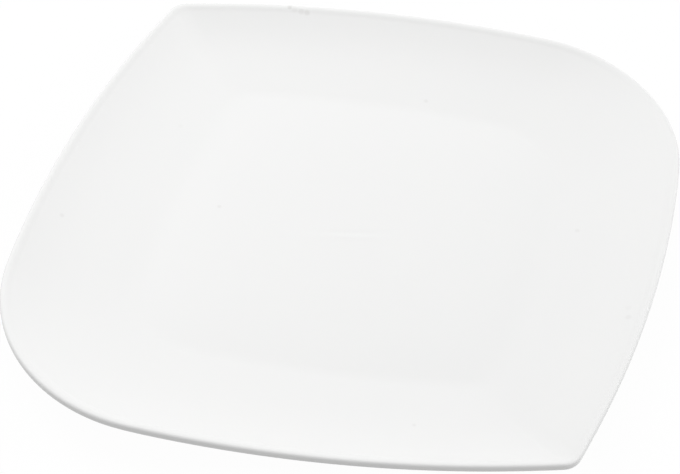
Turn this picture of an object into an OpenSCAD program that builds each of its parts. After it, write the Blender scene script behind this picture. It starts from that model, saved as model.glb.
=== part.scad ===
// Square porcelain dinner plate with two pointed and two round corners.
// The origin is the middle of the foot ring's bearing face, and +Z is up.
// The pointed corners lie on one diagonal, towards +X +Y and towards -X -Y.

/* [Edge seen from above] */
// Width across two opposite sides, over the glaze
plate_w = 265; // [235:1:300]
// Radius of each bowed side
side_r = 512; // [420:1:700]
// How far the widest point of a side lies from its middle, towards the round corner
side_shift = 59; // [40:1:65]
// Radius of the two pointed corners
point_r = 9.5; // [6:0.5:20]
// Radius of the two round corners
round_r = 68; // [55:1:80]

/* [Well seen from above] */
// Width across the well, from break to break
well_w = 162; // [145:1:180]
// Radius of the well's bowed sides
well_side_r = 470; // [400:1:600]
// How far the widest point of the well's side lies from its middle
well_shift = 47; // [30:1:50]
// Radius of the well's two pointed corners
well_point_r = 11; // [8:0.5:16]
// Radius of the well's two round corners
well_round_r = 31; // [26:1:40]

/* [Section] */
// Depth of the well, from the top of the lip to the break
well_depth = 12; // [9:0.5:16]
// Height of the lip's upright outer edge, with its two rounded corners
lip_t = 3.8; // [3.2:0.1:5]
// Radius of those two corners
lip_edge_r = 1.2; // [0.8:0.1:1.5]
// Radius of the soft roll from the top of the lip down to the face
lip_roll_r = 3.5; // [2:0.1:5]
// Slope of the face at the foot of that roll, in degrees
roll_slope = 33; // [26:0.5:45]
// Reach of the hollow in which the roll runs out into the rim
hollow_reach = 2; // [1:0.1:4]
// Thickness of the rim where it meets the foot ring
rim_t = 4.6; // [4:0.1:5.5]
// Thickness of the floor
floor_t = 4.8; // [4:0.1:6]
// Slope of the rim's face inside that hollow, in degrees
lip_slope = 24.5; // [18:0.5:26]
// Slope of the rim's face next to the break, in degrees
wall_slope = 7.5; // [5:0.5:10]
// Slope at the outer end of the bend at the break, in degrees
break_slope = 9.5; // [5:0.5:14]
// Reach of that bend, to each side of the break
break_reach = 3.5; // [2:0.5:6]
// Rise of the floor's middle above the break
crown_h = 1; // [0.2:0.1:2]

/* [Foot ring] */
// Height of the foot ring below the base
foot_h = 3.4; // [3.2:0.1:5]
// Distance from the break in to the foot ring's outer wall
foot_inset = 7; // [4:0.5:10]
// Thickness of the foot ring
foot_t = 5; // [4:0.1:8]
// Radius of the fillets where the foot ring meets the underside
foot_fillet = 2; // [1:0.1:2.2]
// Radius of the two rounded edges of its bearing face
foot_edge_r = 0.7; // [0.4:0.1:0.8]

/* [Glaze] */
// Thickness of the glaze
glaze_t = 0.3; // [0.2:0.05:0.4]
// Height of the band wiped bare round the bottom of the foot ring
wiped_h = 0.9; // [0.8:0.05:1.2]

/* [Hidden] */

// Steps along half a round corner, along a side and along half a pointed corner
round_steps = 5;
side_steps = 8;
point_steps = 3;
// Steps along the section: in the bend, rim, hollow, roll, the lip's corners,
// underside, fillets and foot edges
bend_steps = 4;
rim_steps = 5;
hollow_steps = 2;
roll_steps = 2;
corner_steps = 3;
under_steps = 3;
fillet_steps = 3;
edge_steps = 2;

// Rings on the floor and base, as shares of the way out from the middle
ring_shares = [0.5, 0.8];
// How far each control point of the rim's curves lies from their ends, as a
// share of their span
pull_share = 0.36;
// The higher this power, the flatter the crown is in the middle
crown_power = 5;

plate_half = plate_w / 2;
well_half = well_w / 2;
base_z = foot_h;
break_z = base_z + floor_t;
plate_h = break_z + well_depth;
under_z = break_z - rim_t;
foot_out = well_half - foot_inset;
foot_in = foot_out - foot_t;
core_half = foot_in - foot_fillet;

function unit(angle) = [cos(angle), sin(angle)];
function reverse(list) = [for (i = [len(list) - 1 : -1 : 0]) list[i]];

// The plan at a given half width is
// [half width, side radius, side shift, point radius, round radius].
// From the edge to the break it blends from the edge's plan to the well's.
// From the break to the foot ring's inner fillet it runs parallel to the
// break, and from there to the middle it only gets smaller.
edge_plan = [plate_half, side_r, side_shift, point_r, round_r];
well_plan = [well_half, well_side_r, well_shift, well_point_r, well_round_r];

function blended(half) =
    let (share = (half - well_half) / (plate_half - well_half))
    well_plan * (1 - share) + edge_plan * share;

function inset(half) =
    let (step = well_half - half)
    [half, well_side_r - step, well_shift, well_point_r, max(well_round_r - step, well_point_r)];

function plan_at(half) =
    half >= well_half ? blended(half)
    : half >= core_half ? inset(half)
    : inset(core_half) * (half / core_half);

// Points along an arc, from point number first
function arc(centre, radius, from, to, steps, first = 1) =
    [for (i = [first : steps]) centre + radius * unit(from + (to - from) * i / steps)];

// Points along a curve from a to d, with control points b and c, all but a
function curve(a, b, c, d, steps) =
    [for (i = [1 : steps])
        let (t = i / steps, s = 1 - t)
        s * s * s * a + 3 * s * s * t * b + 3 * s * t * t * c + t * t * t * d];

// One side, from the middle of a round corner to the middle of a pointed one.
// The bowed side is tangent to both corners, whose centres lie on the diagonals.
function side(plan) =
    let (
        r = plan[1],
        pointed = plan[3],
        rounded = plan[4],
        bow = [plan[0] - r, -plan[2]],
        across = bow.x - bow.y,
        along = bow.x + bow.y,
        round_at = (across + sqrt(2 * pow(r - rounded, 2) - pow(along, 2))) / 2,
        point_at = (along + sqrt(2 * pow(r - pointed, 2) - pow(across, 2))) / 2,
        low = atan2(-round_at - bow.y, round_at - bow.x),
        high = atan2(point_at - bow.y, point_at - bow.x)
    )
    concat(
        arc([round_at, -round_at], rounded, -45, low, round_steps, 0),
        arc(bow, r, low, high, side_steps),
        arc([point_at, point_at], pointed, high, 45, point_steps)
    );

// The whole outline is that side, its mirror image about the diagonal through
// the pointed corners, and the same two again half a turn on.
function outline(half) =
    let (
        right = side(plan_at(half)),
        last = len(right) - 1,
        top = [for (i = [last : -1 : 1]) [right[i].y, right[i].x]],
        half_way = concat([for (i = [0 : last - 1]) right[i]], top)
    )
    concat(half_way, -half_way);

// The points of the section are [half width, height].
function crowned(half, height) =
    [half, height + crown_h * (1 - pow(half / well_half, crown_power))];

// The face from the floor outwards: crowned floor, soft bend at the break, rim
// curving up, and the hollow at the foot of the lip's roll
bend_in = crowned(well_half - break_reach, break_z);
bend_mid = [well_half, break_z];
bend_out = bend_mid + break_reach * unit(break_slope);
roll_mid = [plate_half - lip_edge_r, plate_h - lip_roll_r];
roll_end = roll_mid + lip_roll_r * unit(90 + roll_slope);
rim_end = roll_end - hollow_reach * unit((roll_slope + lip_slope) / 2);
rim_pull = pull_share * (rim_end.x - bend_out.x);
hollow_pull = pull_share * hollow_reach;
floor_points = [for (share = ring_shares) crowned(share * bend_in.x, break_z)];
bend_points = curve(
    bend_in,
    (bend_in + 2 * bend_mid) / 3,
    (bend_out + 2 * bend_mid) / 3,
    bend_out,
    bend_steps
);
rim_points = curve(
    bend_out,
    bend_out + rim_pull * unit(wall_slope),
    rim_end - rim_pull * unit(lip_slope),
    rim_end,
    rim_steps
);
hollow_points = curve(
    rim_end,
    rim_end + hollow_pull * unit(lip_slope),
    roll_end - hollow_pull * unit(roll_slope),
    roll_end,
    hollow_steps
);

// The roll ends level at the top of the lip, and the lip's outer edge stands
// upright between its two corners. The underside runs from the lower corner to
// the foot ring's fillet and down to the wiped band.
upper_mid = [plate_half - lip_edge_r, plate_h - lip_edge_r];
lower_mid = [plate_half - lip_edge_r, plate_h - lip_t + lip_edge_r];
lip_points = concat(
    arc(roll_mid, lip_roll_r, 90 + roll_slope, 90, roll_steps),
    arc(upper_mid, lip_edge_r, 90, 0, corner_steps),
    arc(lower_mid, lip_edge_r, 0, lip_slope - 90, corner_steps, 0)
);
lip_under = lower_mid + lip_edge_r * unit(lip_slope - 90);
under_end = [foot_out + foot_fillet, under_z];
under_pull = pull_share * (lip_under.x - under_end.x);
under_points = curve(
    lip_under,
    lip_under - under_pull * unit(lip_slope),
    under_end + under_pull * unit(0),
    under_end,
    under_steps
);
outer_fillet = arc(under_end - [0, foot_fillet], foot_fillet, 90, 180, fillet_steps);

face_section = concat(
    floor_points,
    [bend_in],
    bend_points,
    rim_points,
    hollow_points,
    lip_points,
    under_points,
    outer_fillet,
    [[foot_out, wiped_h]]
);

// The base inside the foot ring, from the wiped band to the middle
base_section = concat(
    [[foot_in, wiped_h]],
    arc([core_half, base_z - foot_fillet], foot_fillet, 0, 90, fillet_steps, 0),
    [for (share = reverse(ring_shares)) crowned(share * core_half, base_z)]
);

// The porcelain under the glaze: each point moved in along its own normal
function sunk(points) =
    [for (i = [0 : len(points) - 1])
        let (way = points[min(i + 1, len(points) - 1)] - points[max(i - 1, 0)])
        points[i] + glaze_t * [way.y, -way.x] / norm(way)];

body_face = sunk(face_section);
body_base = sunk(base_section);
bare_out = foot_out - glaze_t;
bare_in = foot_in + glaze_t;
bare_section = concat(
    arc([bare_out - foot_edge_r, foot_edge_r], foot_edge_r, 0, -90, edge_steps, 0),
    arc([bare_in + foot_edge_r, foot_edge_r], foot_edge_r, -90, -180, edge_steps, 0)
);

// Heights in the middle of the plate
face_mid = break_z + crown_h;
base_mid = base_z + crown_h;

// A closed skin through the outlines of a section, from a first point in the
// middle of the plate to a last one. Each strip of the skin is split along one
// diagonal, or along the other from strip swap_from to strip swap_to, so that
// two skins that run the opposite way over the same points still match.
module loft(section, first_z, last_z, swap_from, swap_to) {
    rings = [for (p = section) [for (q = outline(p.x)) [q.x, q.y, p.y]]];
    around = len(rings[0]);
    last = len(rings) - 1;
    points = concat([for (ring = rings) each ring], [[0, 0, first_z], [0, 0, last_z]]);
    middle = len(points) - 2;
    faces = concat(
        [for (i = [0 : around - 1]) [middle, (i + 1) % around, i]],
        [for (j = [0 : last - 1], i = [0 : around - 1])
            let (
                k = (i + 1) % around,
                a = j * around + i,
                b = j * around + k,
                c = b + around,
                d = a + around,
                swap = j >= swap_from && j <= swap_to
            )
            each (swap ? [[a, b, d], [b, c, d]] : [[a, b, c], [a, c, d]])],
        [for (i = [0 : around - 1]) [middle + 1, last * around + i, last * around + (i + 1) % around]]
    );
    polyhedron(points, faces);
}

module porcelain_body() {
    color("linen")
        loft(concat(body_face, bare_section, body_base), face_mid - glaze_t, base_mid + glaze_t, 0, -1);
}

module face_glaze() {
    strips = len(face_section);
    color("white")
        loft(concat(face_section, reverse(body_face)), face_mid, face_mid - glaze_t, strips, 2 * strips);
}

module base_glaze() {
    strips = len(base_section);
    color("whitesmoke")
        loft(concat(reverse(body_base), base_section), base_mid + glaze_t, base_mid, 0, strips - 2);
}

porcelain_body();
face_glaze();
base_glaze();
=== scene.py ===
import math

import bmesh
import bpy
from mathutils import Euler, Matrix, Quaternion, Vector, noise


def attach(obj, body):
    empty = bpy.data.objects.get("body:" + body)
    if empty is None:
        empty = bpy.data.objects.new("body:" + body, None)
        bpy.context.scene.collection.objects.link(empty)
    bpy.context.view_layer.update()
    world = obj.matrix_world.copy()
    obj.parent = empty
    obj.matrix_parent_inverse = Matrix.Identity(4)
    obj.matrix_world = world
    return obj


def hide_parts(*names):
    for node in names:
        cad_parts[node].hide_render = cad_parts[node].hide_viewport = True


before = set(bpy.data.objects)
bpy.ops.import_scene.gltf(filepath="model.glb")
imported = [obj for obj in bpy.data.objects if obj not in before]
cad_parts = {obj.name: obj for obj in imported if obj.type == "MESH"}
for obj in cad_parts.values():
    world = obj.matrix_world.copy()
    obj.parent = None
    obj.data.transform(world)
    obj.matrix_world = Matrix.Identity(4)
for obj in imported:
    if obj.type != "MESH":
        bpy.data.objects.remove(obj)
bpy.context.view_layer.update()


# Porcelain body: hard white porcelain, pressed in one piece and fired. Only the bearing face of
# its foot ring shows, wiped free of glaze before the firing and then rubbed smooth on a belt.
def smooth_piece(name, node):
    """A copy of a node's mesh with its triangles joined into quads, rounded by subdivision."""
    work = bmesh.new()
    work.from_mesh(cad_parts[node].data)
    bmesh.ops.remove_doubles(work, verts=work.verts, dist=1e-6)
    bmesh.ops.join_triangles(
        work,
        faces=work.faces,
        angle_face_threshold=math.radians(180),
        angle_shape_threshold=math.radians(40),
        topology_influence=2,
    )
    for face in work.faces:
        face.smooth = True
    mesh = bpy.data.meshes.new(name)
    work.to_mesh(mesh)
    work.free()
    piece = bpy.data.objects.new(name, mesh)
    bpy.context.scene.collection.objects.link(piece)
    rounding = piece.modifiers.new("rounding", "SUBSURF")
    rounding.levels = 2
    rounding.render_levels = 2
    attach(piece, "root")
    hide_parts(node)
    return piece


def add(tree, kind, values=None, **settings):
    """A shader node with its settings, and each of its inputs set or linked."""
    node = tree.nodes.new("ShaderNode" + kind)
    for name, value in settings.items():
        setattr(node, name, value)
    for name, value in (values or {}).items():
        if isinstance(value, bpy.types.NodeSocket):
            tree.links.new(value, node.inputs[name])
        else:
            node.inputs[name].default_value = value
    return node


def reckon(tree, operation, *values):
    """The result of one step of arithmetic."""
    return add(tree, "Math", dict(enumerate(values)), operation=operation).outputs[0]


def patches(tree, place, size, detail=2):
    """Soft patches from 0 to 1, mostly 0.3 to 0.7, that are about size metres across."""
    values = {"Vector": place, "Scale": 1 / size, "Detail": detail}
    return add(tree, "TexNoise", values).outputs["Fac"]


def ranged(tree, value, low, high, bottom, top):
    """A value from low to high carried to bottom to top, with soft ends."""
    limits = {"Value": value, "From Min": low, "From Max": high, "To Min": bottom, "To Max": top}
    return add(tree, "MapRange", limits, interpolation_type="SMOOTHSTEP").outputs["Result"]


def blend(tree, share, first, second):
    """A colour that goes from the first to the second as share goes from 0 to 1."""
    return add(tree, "Mix", {0: share, 6: first, 7: second}, data_type="RGBA").outputs[2]


def new_material(name):
    """A material, its tree, its Principled shader and the place on the piece in metres."""
    material = bpy.data.materials.new(name)
    material.use_nodes = True
    tree = material.node_tree
    place = add(tree, "TexCoord").outputs["Object"]
    return material, tree, tree.nodes["Principled BSDF"], place


def dress(tree, shader, colour, roughness, relief):
    """Gives a shader its colour, its roughness and its relief in metres."""
    tree.links.new(colour, shader.inputs["Base Color"])
    tree.links.new(roughness, shader.inputs["Roughness"])
    bump = add(tree, "Bump", {"Height": relief, "Distance": 1.0})
    tree.links.new(bump.outputs["Normal"], shader.inputs["Normal"])


# Iron specks: the grains of iron that burn to small dark dots in any porcelain, one to a cell
# of a loose lattice, of which only a share of the cells has one. A speck is full dark out to
# its core and fades to its radius.
def new_group(name, amounts, results):
    """A node group that works results out from a place and amounts, and its two ends."""
    group = bpy.data.node_groups.new(name, "ShaderNodeTree")
    group.interface.new_socket("Place", in_out="INPUT", socket_type="NodeSocketVector")
    for amount in amounts:
        group.interface.new_socket(amount, in_out="INPUT", socket_type="NodeSocketFloat")
    for result in results:
        group.interface.new_socket(result, in_out="OUTPUT", socket_type="NodeSocketFloat")
    given = group.nodes.new("NodeGroupInput").outputs
    taken = group.nodes.new("NodeGroupOutput").inputs
    return group, given, taken


speck_share = 0.3
speck_core = 0.4

specks, given, taken = new_group("iron_specks", ["Spacing", "Radius"], ["Mask"])
cells = add(specks, "TexVoronoi", {
    "Vector": given["Place"],
    "Scale": reckon(specks, "DIVIDE", 1.0, given["Spacing"]),
})
reach = reckon(specks, "DIVIDE", given["Radius"], given["Spacing"])
near = reckon(specks, "DIVIDE", cells.outputs["Distance"], reach)
chance = add(specks, "SeparateColor", {"Color": cells.outputs["Color"]}).outputs["Red"]
dot = ranged(specks, near, speck_core, 1, 1, 0)
mask = reckon(specks, "MULTIPLY", dot, reckon(specks, "LESS_THAN", chance, speck_share))
specks.links.new(mask, taken["Mask"])

body = smooth_piece("plate_body", "porcelain_body")

bare_white = (0.80, 0.785, 0.75, 1)
bare_grey = (0.70, 0.685, 0.65, 1)
iron_brown = (0.30, 0.22, 0.16, 1)
bare_roughness = 0.8
rubbed_roughness = 0.55
smudge_size = 0.02
grain_size = 0.0012
grain_depth = 6e-6
rub_length = 0.012
rub_width = 0.00025
rub_depth = 4e-6
rub_turn = math.radians(30)

bare, tree, shader, place = new_material("bare_porcelain")
smudge = ranged(tree, patches(tree, place, smudge_size, 4), 0.35, 0.75, 0, 1)
along = add(tree, "Mapping", {
    "Vector": place,
    "Rotation": Euler((0, 0, rub_turn)),
    "Scale": Vector((rub_length, rub_width, rub_length)),
}, vector_type="TEXTURE").outputs["Vector"]
rubbing = patches(tree, along, 1, 2)
grain = patches(tree, place, grain_size, 3)
dots = add(tree, "Group", {"Place": place, "Spacing": 0.006, "Radius": 0.0003}, node_tree=specks)
colour = blend(tree, smudge, bare_white, bare_grey)
shade = blend(tree, dots.outputs["Mask"], colour, iron_brown)
dullness = ranged(tree, rubbing, 0.3, 0.7, rubbed_roughness, bare_roughness)
relief = reckon(
    tree, "ADD",
    reckon(tree, "MULTIPLY", grain, grain_depth),
    reckon(tree, "MULTIPLY", rubbing, rub_depth),
)
dress(tree, shader, shade, dullness, relief)
body.data.materials.append(bare)


# Face glaze: clear glass melted over the white body, 0.3 mm thick. It runs over the face,
# round the lip and down the underside to the foot ring, where its edge was wiped with a sponge.
def wavy_edge(piece, height, wave, rise):
    """Lifts the piece's lowest edge by a soft wave, as a sponge leaves it."""
    for vertex in piece.data.vertices:
        if vertex.co.z < height:
            spot = Vector((vertex.co.x, vertex.co.y, 0)) / wave
            vertex.co.z += rise * (0.5 + 0.5 * noise.noise(spot))


# Glaze surface: what all glass on the plate shares. Its colour drifts in wide clouds and small
# mottles, it swells and sinks a few micrometres, it has pits, and its gloss is a little uneven.
cloud_size = 0.04
mottle_size = 0.005
mottle_share = 0.3
swell_size = 0.011
worn_size = 0.03
least_worn = 0.8
most_worn = 1.25

surface, given, taken = new_group(
    "glaze_surface", ["Ripple", "Pitting", "Roughness"], ["Cloud", "Roughness", "Height"],
)
clouds = reckon(
    surface, "ADD",
    reckon(surface, "MULTIPLY", patches(surface, given["Place"], cloud_size, 2), 1 - mottle_share),
    reckon(surface, "MULTIPLY", patches(surface, given["Place"], mottle_size, 3), mottle_share),
)
ripple = patches(surface, given["Place"], swell_size, 1)
swell = reckon(surface, "MULTIPLY", ripple, given["Ripple"])
pits = add(surface, "Group", {
    "Place": given["Place"],
    "Spacing": 0.009,
    "Radius": 0.00022,
}, node_tree=specks)
hollow = reckon(surface, "MULTIPLY", pits.outputs["Mask"], given["Pitting"])
height = reckon(surface, "SUBTRACT", swell, hollow)
worn = patches(surface, given["Place"], worn_size, 4)
wear = ranged(surface, worn, 0.3, 0.7, least_worn, most_worn)
surface.links.new(clouds, taken["Cloud"])
surface.links.new(reckon(surface, "MULTIPLY", given["Roughness"], wear), taken["Roughness"])
surface.links.new(height, taken["Height"])

face = smooth_piece("plate_face", "face_glaze")
wavy_edge(face, height=0.0011, wave=0.014, rise=0.0002)

glaze_white = (0.885, 0.885, 0.88, 1)
glaze_deep = (0.872, 0.875, 0.872, 1)
speck_grey = (0.70, 0.69, 0.68, 1)

glaze, tree, shader, place = new_material("face_glaze")
finish = add(tree, "Group", {
    "Place": place,
    "Ripple": 8e-6,
    "Pitting": 2e-6,
    "Roughness": 0.12,
}, node_tree=surface).outputs
colour = blend(tree, finish["Cloud"], glaze_deep, glaze_white)

# the specks and the nick in the far lip that show on this plate's face: where each mark is, its
# radius and how dark it is; a mark is full dark out to its core and fades to its radius
mark_core = 0.3
face_marks = [
    ((-0.0861, 0.0164, 0.0092), 0.0014, 0.28),
    ((0.0028, -0.0588, 0.0089), 0.0013, 0.28),
    ((0.0319, -0.1193, 0.0158), 0.0014, 0.30),
    ((-0.0251, 0.0928, 0.0100), 0.0015, 0.22),
    ((0.0188, 0.1177, 0.0171), 0.0020, 0.12),
    ((0.0242, 0.1181, 0.0176), 0.0019, 0.22),
    ((0.0971, 0.0414, 0.0121), 0.0012, 0.24),
    ((-0.0381, -0.0861, 0.0101), 0.0016, 0.10),
    ((-0.1178, -0.0546, 0.0201), 0.0015, 0.65),
    ((-0.1172, -0.0522, 0.0197), 0.0020, 0.22),
    ((-0.1173, -0.0489, 0.0193), 0.0020, 0.34),
    ((-0.1175, -0.0463, 0.0191), 0.0019, 0.46),
]
marks = 0.0
for centre, radius, darkness in face_marks:
    away = add(tree, "VectorMath", {0: place, 1: centre}, operation="DISTANCE").outputs["Value"]
    mark = ranged(tree, away, radius * mark_core, radius, darkness, 0)
    marks = reckon(tree, "MAXIMUM", marks, mark)
shade = blend(tree, marks, colour, speck_grey)

# the faint line in the middle of the well, where the glaze drew together as it set
line_middle = Vector((0.0034, -0.0010, 0.0092))
line_turn = math.radians(14)
line_width = 0.0017
line_length = 0.014
line_depth = 0.00022
across = add(tree, "Mapping", {
    "Vector": place,
    "Location": line_middle,
    "Rotation": Euler((0, 0, line_turn)),
    "Scale": Vector((line_width, line_length, line_width)),
}, vector_type="TEXTURE").outputs["Vector"]
spread = add(tree, "VectorMath", {0: across, 1: across}, operation="DOT_PRODUCT").outputs["Value"]
fade = reckon(tree, "EXPONENT", reckon(tree, "MULTIPLY", spread, -1.0))
side = add(tree, "SeparateXYZ", {0: across}).outputs["X"]
line = reckon(tree, "MULTIPLY", reckon(tree, "MULTIPLY", side, fade), line_depth)
relief = reckon(tree, "ADD", finish["Height"], line)
dress(tree, shader, shade, finish["Roughness"], relief)
face.data.materials.append(glaze)


# Base glaze: the same clear glass inside the foot ring, parted from the face's by the bare
# band. It lay towards the kiln shelf, so it is a little duller and has more pits and specks.
base = smooth_piece("plate_base", "base_glaze")
wavy_edge(base, height=0.0011, wave=0.012, rise=0.0002)

glaze_dull = (0.855, 0.855, 0.845, 1)
base_speck_strength = 0.5

under, tree, shader, place = new_material("base_glaze")
finish = add(tree, "Group", {
    "Place": place,
    "Ripple": 1.2e-5,
    "Pitting": 2e-5,
    "Roughness": 0.16,
}, node_tree=surface).outputs
dots = add(tree, "Group", {"Place": place, "Spacing": 0.025, "Radius": 0.0004}, node_tree=specks)
colour = blend(tree, finish["Cloud"], glaze_dull, glaze_white)
faint_dots = reckon(tree, "MULTIPLY", dots.outputs["Mask"], base_speck_strength)
shade = blend(tree, faint_dots, colour, iron_brown)
dress(tree, shader, shade, finish["Roughness"], finish["Height"])
base.data.materials.append(under)


# Floor: a plain pale sheet that fades into the white background. The plate's light falls on
# it as on pale paper, and what sees it mostly sees its own white, so its shadow stays faint.
def seen_share(tree):
    """1 where the camera looks, straight or by way of the glaze, and 0 where light is cast."""
    rays = add(tree, "LightPath").outputs
    seen = reckon(tree, "MAXIMUM", rays["Is Camera Ray"], rays["Is Glossy Ray"])
    return reckon(tree, "MAXIMUM", seen, rays["Is Transmission Ray"])


floor_mesh = bpy.data.meshes.new("floor")
work = bmesh.new()
bmesh.ops.create_grid(work, x_segments=1, y_segments=1, size=3)
work.to_mesh(floor_mesh)
work.free()
floor = bpy.data.objects.new("floor", floor_mesh)
bpy.context.scene.collection.objects.link(floor)

paper_grey = (0.45, 0.45, 0.45, 1)
full_white = (1, 1, 1, 1)
own_white = 0.97

paper = bpy.data.materials.new("floor")
paper.use_nodes = True
tree = paper.node_tree
tree.nodes.clear()
seen = seen_share(tree)
tone = blend(tree, seen, paper_grey, full_white)
matte = add(tree, "BsdfDiffuse", {"Color": tone}).outputs[0]
white = add(tree, "Emission", {"Strength": 1.0}).outputs[0]
share = reckon(tree, "MULTIPLY", seen, own_white)
mix = add(tree, "MixShader", {0: share, 1: matte, 2: white}).outputs[0]
add(tree, "OutputMaterial", {"Surface": mix})
floor_mesh.materials.append(paper)


# Light: two wide soft lamps, a high one to the plate's left and a low one to its right, both a
# little beyond it, in an even white room. They shine as through a white tent, so the glaze
# mirrors each as a soft glow on the room's wall and not as a hard disc.
def soft_lamp(name, width, power, elevation, azimuth, distance=1.3):
    """Hangs a round lamp that looks at the plate from angles in degrees; gives the way to it."""
    lamp = bpy.data.objects.new(name, bpy.data.lights.new(name, "AREA"))
    lamp.data.shape = "DISK"
    lamp.data.size = width
    lamp.data.energy = power
    turn = Euler((0, math.radians(-elevation), math.radians(azimuth)))
    way = turn.to_matrix() @ Vector((1, 0, 0))
    lamp.location = way * distance
    lamp.rotation_mode = "QUATERNION"
    lamp.rotation_quaternion = (-way).to_track_quat("-Z", "Y")
    lamp.visible_glossy = False
    bpy.context.scene.collection.objects.link(lamp)
    return way


left_way = soft_lamp("left_lamp", width=1.0, power=7.75, elevation=50, azimuth=243)
right_way = soft_lamp("right_lamp", width=1.2, power=5.75, elevation=20, azimuth=112)

room_fill = 0.61
left_glow = 0.6
right_glow = 0.2
glow_spread = math.radians(38)

room = bpy.data.worlds.new("white_room")
room.use_nodes = True
bpy.context.scene.world = room
tree = room.node_tree
tree.nodes.clear()
fill = add(tree, "Background", {"Color": full_white, "Strength": room_fill}).outputs[0]
look = add(tree, "TexCoord").outputs["Generated"]
glow = 0.0
for way, strength in ((left_way, left_glow), (right_way, right_glow)):
    near = add(tree, "VectorMath", {0: look, 1: way}, operation="DOT_PRODUCT").outputs["Value"]
    lit = ranged(tree, near, math.cos(glow_spread), 1, 0, strength)
    glow = reckon(tree, "ADD", glow, lit)
mirrored = add(tree, "LightPath").outputs["Is Glossy Ray"]
brightness = reckon(tree, "MULTIPLY_ADD", glow, mirrored, 1.0)
backdrop = add(tree, "Background", {"Color": full_white, "Strength": brightness}).outputs[0]
mix = add(tree, "MixShader", {0: seen_share(tree), 1: fill, 2: backdrop}).outputs[0]
add(tree, "OutputWorld", {"Surface": mix})
bpy.context.scene.view_settings.view_transform = "Standard"


# Camera: a long lens some 0.8 m from the plate, nearly half way between level and straight
# above, and turned a little so that the plate leans in the picture. The distance is to the
# point of the well's floor that lies in the middle of the picture.
view_azimuth = math.radians(94.95)
view_elevation = math.radians(47.90)
view_roll = math.radians(8.17)
view_distance = 0.8241
aim_point = Vector((0.0060, -0.0056, 0.0092))
lens_length = 103.14
film_width = 36

camera = bpy.data.objects.new("camera", bpy.data.cameras.new("camera"))
camera.data.lens = lens_length
camera.data.sensor_width = film_width
back = Vector((
    math.sin(view_azimuth) * math.cos(view_elevation),
    -math.cos(view_azimuth) * math.cos(view_elevation),
    math.sin(view_elevation),
))
camera.location = aim_point + back * view_distance
camera.rotation_mode = "QUATERNION"
camera.rotation_quaternion = (-back).to_track_quat("-Z", "Y") @ Quaternion((0, 0, 1), view_roll)
bpy.context.scene.collection.objects.link(camera)
bpy.context.scene.camera = camera
